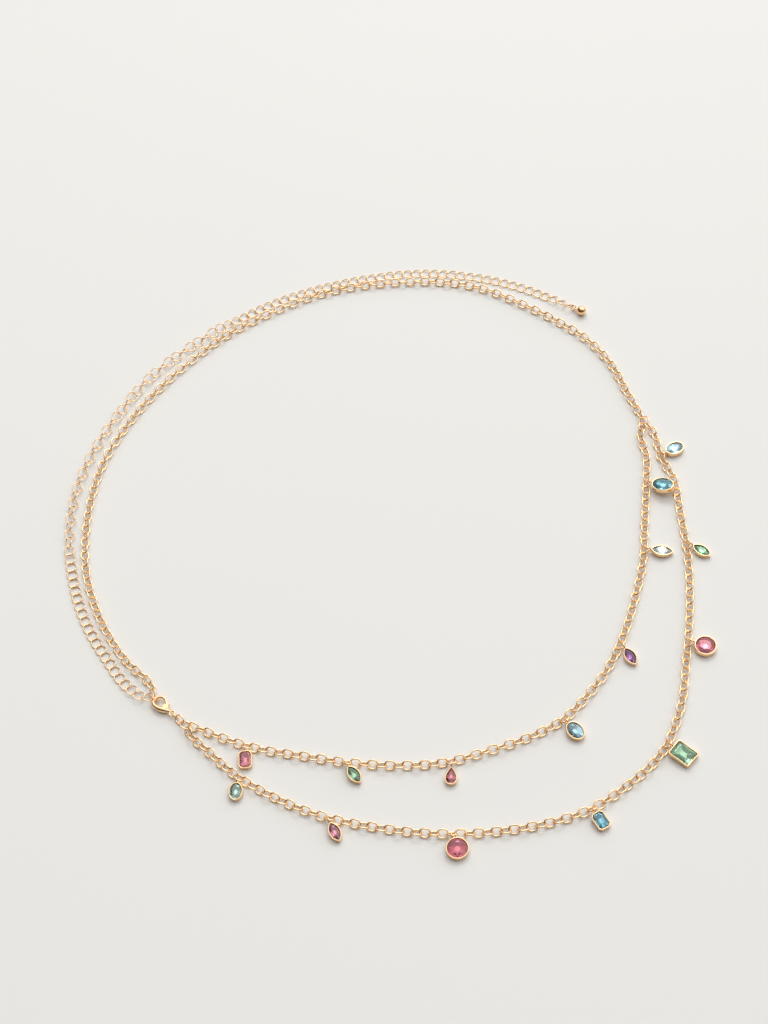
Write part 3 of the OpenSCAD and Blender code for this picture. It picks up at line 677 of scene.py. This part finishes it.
def step_mesh(cut, l, w, back_z, low_z, high_z, top_z):
    """Straight facets in three rows on each side of the girdle."""
    below = [(share, back_z + (low_z - back_z) * rise) for share, rise in STEPS_BELOW]
    above = [(share, high_z + (top_z - high_z) * rise) for share, rise in STEPS_ABOVE]
    rows = [(CULET_SHARE, back_z)] + below + [(1, low_z), (1, high_z)] + above + [(TABLE_SHARE, top_z)]
    points, faces = lofted([raised(outline(cut, l * a, w * a, 8), z) for a, z in rows])
    back = 1 + (len(below) + 1) * 8
    return points, faces[:back], faces[back:]


for i in range(len(CHARMS)):
    strand = CHARMS[i][0]
    number = i + 1 if strand == "inner" else i + 1 - INNER_COUNT
    m, l, w, cut = charm_matrix(i)
    cup = m @ at_cup(l)
    points, faces = tube_ring(circle(LOOP_D, LOOP_WIRE, LOOP_STEPS), LOOP_WIRE / 2, LOOP_SIDES)
    parts = [(moved(points, m @ Matrix.Rotation(math.pi / 2, 4, "X")), faces)]
    points, faces = cup_mesh(cut, l, w)
    parts.append((moved(points, cup), faces))
    setting = mesh_object("%s_bezel_%d" % (strand, number), *joined(parts))
    sharp_by_angle(setting, CUP_CREASE)
    setting.data.materials.append(gold)
    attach(setting, "chain")
    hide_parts("%s_setting_%d" % (strand, number))

    h = cup_h(w)
    high_z = h / 2 - RIM_ABOVE_GIRDLE
    low_z = high_z - GIRDLE_H
    back_z, top_z = CUP_FLOOR - h / 2 + STONE_FIT, high_z + CROWN_BASE + w * CROWN_SHARE
    make = step_mesh if cut in OCTAGON_CORNER else brilliant_mesh
    points, pavilion, crown = make(cut, l, w, back_z, low_z, high_z, top_z)
    name = "%s_crystal_%d" % (strand, number)
    stone = mesh_object(name, moved(points, cup), pavilion + crown, smooth=False)
    stone.data.materials.append(stone_mats[CHARMS[i][6]])
    stone.data.materials.append(foil)
    for f in range(len(pavilion)):
        stone.data.polygons[f].material_index = 1
    outwards(stone)
    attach(stone, "chain")
    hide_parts("%s_stone_%d" % (strand, number))


# ---- the lobster clasp, with rounder bars in the form of its solids ----
# middle line and radius of the clasp's hook, lever and thumb tab, as shares of its length, width and
# thickness
CLASP_LINE = [
    (0.54, 0.365, 0.215), (0.6, 0.39, 0.235), (0.66, 0.38, 0.245), (0.72, 0.335, 0.25),
    (0.775, 0.25, 0.25), (0.815, 0.135, 0.25), (0.83, 0, 0.25), (0.82, -0.135, 0.26), (0.78, -0.245, 0.28),
    (0.72, -0.32, 0.315), (0.64, -0.36, 0.355), (0.55, -0.355, 0.395), (0.46, -0.32, 0.44),
    (0.365, -0.245, 0.485), (0.28, -0.16, 0.48), (0.21, -0.09, 0.42), (0.145, -0.03, 0.3),
    (0.095, 0, 0.16),
]
LEVER_LINE = [
    (0.3, 0.015, 0.2), (0.335, 0.1, 0.25), (0.38, 0.19, 0.26), (0.43, 0.265, 0.26),
    (0.49, 0.325, 0.245), (0.55, 0.365, 0.22), (0.61, 0.385, 0.2),
]
TAB_LINE = [(0.345, 0.1, 0.2), (0.335, 0.22, 0.22), (0.33, 0.33, 0.16), (0.328, 0.36, 0.06)]
PIVOT = (LEVER_LINE[0][0] * CLASP_LEN, LEVER_LINE[0][1] * CLASP_W)
EAR_R, HUB_R = CLASP_W * 0.165, CLASP_W * 0.14
LEVER_THICK, LEVER_REACH, LEVER_GAP = CLASP_THICK * 0.52, CLASP_LEN * 0.314, 0.12
# corner, in shares of length and width, of the square that bounds the cut where the lever meets the tip
TIP_ALONG, TIP_ACROSS = 0.45, 0.2
PIN_PROUD, CLASP_CREASE = 0.02, 38
BAR_SIDES, BAR_STEPS, ROUND_STEPS, REACH_STEPS, EYE_SIDES = 28, 4, 56, 96, 20
in_clasp = placed(CLASP_AT[0], CLASP_AT[1], CHAIN_Z, CLASP_TURN) @ Matrix.Scale(-1, 4, (0, 1, 0))


def bar_mesh(line):
    """A bar of round section along a flat line, which runs smoothly through its points."""
    p = np.array(line, float) * (CLASP_LEN, CLASP_W, CLASP_THICK)
    n = len(p)
    fine = []
    for i in range(n - 1):
        a, b, c, d = p[max(i - 1, 0)], p[i], p[i + 1], p[min(i + 2, n - 1)]
        for k in range(BAR_STEPS):
            t = k / BAR_STEPS
            square, cube = 2 * a - 5 * b + 4 * c - d, 3 * b - a - 3 * c + d
            fine.append(0.5 * (2 * b + (c - a) * t + square * t**2 + cube * t**3))
    fine.append(p[-1])
    fine = np.array(fine)
    way = np.gradient(fine[:, :2], axis=0)
    way /= np.linalg.norm(way, axis=1)[:, None]
    side = np.stack([-way[:, 1], way[:, 0]], 1)
    a = np.linspace(0, 2 * math.pi, BAR_SIDES, endpoint=False)
    rings = []
    for i in range(len(fine)):
        r = fine[i, 2]
        rings.append(np.c_[fine[i, :2] + side[i] * (r * np.cos(a))[:, None], r * np.sin(a)])
    return lofted(rings)


def cylinder_mesh(x, y, z0, z1, r, steps=ROUND_STEPS):
    t = np.linspace(0, 2 * math.pi, steps, endpoint=False)
    flat = np.stack([x + r * np.cos(t), y + r * np.sin(t)], 1)
    return lofted([raised(flat, z0), raised(flat, z1)])


def box_mesh(x0, y0, z0, x1, y1, z1):
    flat = np.array([[x0, y0], [x1, y0], [x1, y1], [x0, y1]], float)
    return lofted([raised(flat, z0), raised(flat, z1)])


def cut_solid(name, base, steps):
    """The base mesh after a row of boolean steps, each a kind with the points and faces of its tool."""
    obj = mesh_object(name, *base)
    outwards(obj)
    tools = []
    for kind, tool in steps:
        other = mesh_object(name + "_tool", *tool)
        outwards(other)
        tools.append(other)
        cut = obj.modifiers.new("cut", "BOOLEAN")
        cut.operation = kind
        cut.solver = "EXACT"
        cut.object = other
    graph = bpy.context.evaluated_depsgraph_get()
    made = bpy.data.meshes.new_from_object(obj.evaluated_get(graph))
    obj.modifiers.clear()
    obj.data = made
    for other in tools:
        bpy.data.objects.remove(other)
    return obj


def points_and_faces(obj):
    """The mesh of an object that was only made for it, in millimetres."""
    points = np.array([v.co for v in obj.data.vertices]) / MM
    faces = [list(f.vertices) for f in obj.data.polygons]
    bpy.data.objects.remove(obj)
    return points, faces


def finish_clasp(obj, extra, node, body):
    """Adds whole pieces to a cut solid, sets it down in the clasp's frame and lets it stand for its node."""
    points, faces = joined([points_and_faces(obj)] + extra)
    piece = mesh_object(node + "_polished", moved(points, in_clasp), faces)
    outwards(piece)
    sharp_by_angle(piece, CLASP_CREASE)
    piece.data.materials.append(gold)
    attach(piece, body)
    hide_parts(node)
    return piece


slot_h = LEVER_THICK + 2 * LEVER_GAP
half_thick = CLASP_THICK / 2
tip_x, tip_y = CLASP_LEN * TIP_ALONG, CLASP_W * TIP_ACROSS
reach = cylinder_mesh(*PIVOT, -CLASP_THICK, CLASP_THICK, LEVER_REACH, REACH_STEPS)
tip_cut = cut_solid(
    "tip_cut", cylinder_mesh(*PIVOT, -CLASP_THICK, CLASP_THICK, LEVER_REACH + LEVER_GAP, REACH_STEPS),
    [("INTERSECT", box_mesh(tip_x, tip_y, -CLASP_THICK, tip_x + CLASP_LEN, tip_y + CLASP_W, CLASP_THICK))],
)
hook = cut_solid(
    "clasp_cut", bar_mesh(CLASP_LINE),
    [
        ("UNION", cylinder_mesh(*PIVOT, -half_thick, half_thick, EAR_R)),
        ("DIFFERENCE", cylinder_mesh(*PIVOT, -slot_h / 2, slot_h / 2, EAR_R + LEVER_GAP)),
        ("DIFFERENCE", points_and_faces(tip_cut)),
    ],
)
eye = tube_ring(circle(2 * EYE_R + EYE_WIRE, EYE_WIRE, ROUND_STEPS), EYE_WIRE / 2, EYE_SIDES)
pin = cylinder_mesh(*PIVOT, -half_thick - PIN_PROUD, half_thick + PIN_PROUD, PIN_D / 2)
finish_clasp(hook, [eye, pin], "clasp_body", "chain")
lever = cut_solid(
    "lever_tip", bar_mesh(LEVER_LINE),
    [
        ("INTERSECT", reach),
        ("UNION", cylinder_mesh(*PIVOT, -LEVER_THICK / 2, LEVER_THICK / 2, HUB_R)),
        ("UNION", bar_mesh(TAB_LINE)),
        ("DIFFERENCE", cylinder_mesh(*PIVOT, -CLASP_THICK, CLASP_THICK, (PIN_D + LEVER_GAP) / 2)),
    ],
)
finish_clasp(lever, [], "clasp_lever", "lever")

# ---- camera ----
ELEVATION, ROLL, FOCAL, DISTANCE = 53.36, 8.87, 2126.0, 835.72
PHOTO_LONG_SIDE, SENSOR = 1024.0, 36.0
CLIP_NEAR, CLIP_FAR = 0.01, 20.0
target = Vector((3.43 + SHIFT[0], 15.83 + SHIFT[1], 0)) * MM
back_dir = Vector((0, -cos(ELEVATION), sin(ELEVATION)))
cam_data = bpy.data.cameras.new("camera")
cam = bpy.data.objects.new("camera", cam_data)
bpy.context.scene.collection.objects.link(cam)
cam_data.sensor_width = SENSOR
cam_data.lens = FOCAL / PHOTO_LONG_SIDE * SENSOR
cam_data.clip_start, cam_data.clip_end = CLIP_NEAR, CLIP_FAR
look = (-back_dir).to_track_quat("-Z", "Y").to_matrix().to_4x4()
at_camera = Matrix.Translation(target + back_dir * DISTANCE * MM)
cam.matrix_world = at_camera @ look @ Matrix.Rotation(math.radians(-ROLL), 4, "Z")
bpy.context.scene.camera = cam

# ---- floor, light and world ----
FLOOR_HALF, FLOOR_BELOW = 12000.0, 0.02
FLOOR_DARKER, FLOOR_LIGHTER, FLOOR_ROUGH = (0.800, 0.795, 0.765), (0.820, 0.815, 0.785), 0.75
FLOOR_CLOUDS = (3.0, 4.0)


def floor_material():
    mat, tree, shader = node_material("floor_paint")
    shader.inputs["Roughness"].default_value = FLOOR_ROUGH
    base_colour(tree, shader, noise(tree, *FLOOR_CLOUDS), FLOOR_DARKER, FLOOR_LIGHTER)
    return mat


square = raised(FLOOR_HALF * np.array([[-1, -1], [1, -1], [1, 1], [-1, 1]]), 0)
floor = mesh_object("floor", square, [(0, 1, 2, 3)], smooth=False)
floor.location.z = -FLOOR_BELOW * MM
floor.data.materials.append(floor_material())


def area_light(name, place, aim, size, power, colour):
    data = bpy.data.lights.new(name, "AREA")
    data.shape = "RECTANGLE"
    data.size, data.size_y = size
    data.energy = power
    data.color = colour
    obj = bpy.data.objects.new(name, data)
    bpy.context.scene.collection.objects.link(obj)
    obj.location = place
    obj.rotation_euler = (Vector(aim) - Vector(place)).to_track_quat("-Z", "Y").to_euler()
    return obj


area_light(
    "key", place=(0.25, 0.8, 1.0), aim=(0, 0.1, 0), size=(0.7, 0.5), power=3.6, colour=(1.0, 0.995, 0.99)
)

# the studio is bright above and behind, and dark round the camera
SKY_BRIGHT_SIDE, SKY_STRENGTH = (0.35, 0.45, 0.82), 1.53
SKY_DARK_TO, SKY_BRIGHT_FROM = 0.25, 0.9
SKY_DARK, SKY_BRIGHT = (0.07, 0.055, 0.045, 1), (1.0, 1.0, 1.0, 1)
world = bpy.data.worlds.new("studio")
bpy.context.scene.world = world
world.use_nodes = True
wn, wl = world.node_tree.nodes, world.node_tree.links
background = wn["Background"]
direction = wn.new("ShaderNodeTexCoord")
facing = wn.new("ShaderNodeVectorMath")
facing.operation = "DOT_PRODUCT"
wl.new(direction.outputs["Generated"], facing.inputs[0])
facing.inputs[1].default_value = SKY_BRIGHT_SIDE
spread = wn.new("ShaderNodeMapRange")
spread.interpolation_type = "SMOOTHSTEP"
spread.inputs["From Min"].default_value = SKY_DARK_TO
spread.inputs["From Max"].default_value = SKY_BRIGHT_FROM
wl.new(facing.outputs["Value"], spread.inputs["Value"])
ramp = wn.new("ShaderNodeValToRGB")
ramp.color_ramp.elements[0].color = SKY_DARK
ramp.color_ramp.elements[1].color = SKY_BRIGHT
wl.new(spread.outputs["Result"], ramp.inputs["Fac"])
wl.new(ramp.outputs["Color"], background.inputs["Color"])
background.inputs["Strength"].default_value = SKY_STRENGTH

scene = bpy.context.scene
scene.view_settings.view_transform = "Standard"
scene.view_settings.exposure = 0.0
